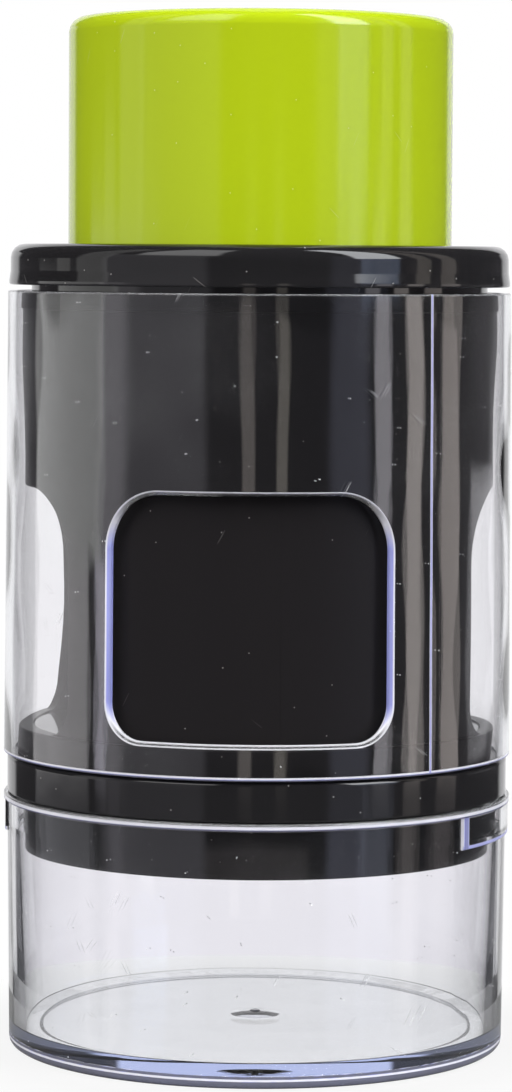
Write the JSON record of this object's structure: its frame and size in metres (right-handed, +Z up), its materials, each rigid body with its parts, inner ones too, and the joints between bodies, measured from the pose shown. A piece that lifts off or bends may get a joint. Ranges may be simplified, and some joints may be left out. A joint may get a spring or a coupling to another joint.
{
  "type": "strawberry slicer",
  "caption": "Upright push-down fruit slicer: a plunger with a comb presses a strawberry through parallel blades into a clear cup, with a turning clear sleeve round the chamber.",
  "frame": {"origin": "centre of the underside of the collection cup, where the slicer stands", "axes": "+Z up along the plunger's axis; -Y is the front, where the blank black wall shows through the sleeve's window; the two loading openings of the chamber face +X and -X"},
  "size_m": [0.0856, 0.0856, 0.173],
  "materials": {
    "lime_plastic": "gloss, moulded ABS",
    "black_plastic": "gloss, moulded ABS",
    "clear_plastic": "clear, moulded SAN with a faint lavender cast",
    "blade_steel": "ground stainless strip"
  },
  "bodies": {
    "cup": {"collection_cup": "clear_plastic"},
    "head": {"base_ring": "black_plastic", "chamber_body": "black_plastic", "top_collar": "black_plastic", "blade_frame": "black_plastic", "blade_clamp": "black_plastic", "blade_01": "blade_steel", "blade_02": "blade_steel", "blade_03": "blade_steel", "blade_04": "blade_steel", "blade_05": "blade_steel", "blade_06": "blade_steel", "blade_07": "blade_steel", "blade_08": "blade_steel", "blade_09": "blade_steel", "blade_10": "blade_steel", "blade_11": "blade_steel"},
    "sleeve": {"window_sleeve": "clear_plastic"},
    "plunger": {"plunger_cap": "lime_plastic", "pusher_core": "black_plastic", "pusher_foot": "black_plastic"}
  },
  "joints": [
    {"name": "head_lift", "type": "slide", "parent": "cup", "child": "head", "axis": [0, 0, 1], "range_m": [0, 0.02]},
    {"name": "sleeve_turn", "type": "hinge", "parent": "head", "child": "sleeve", "pos_m": [0, 0, 0.0888], "axis": [0, 0, 1], "continuous": true},
    {"name": "plunger_press", "type": "slide", "parent": "head", "child": "plunger", "axis": [0, 0, -1], "range_m": [0, 0.0375]}
  ]
}
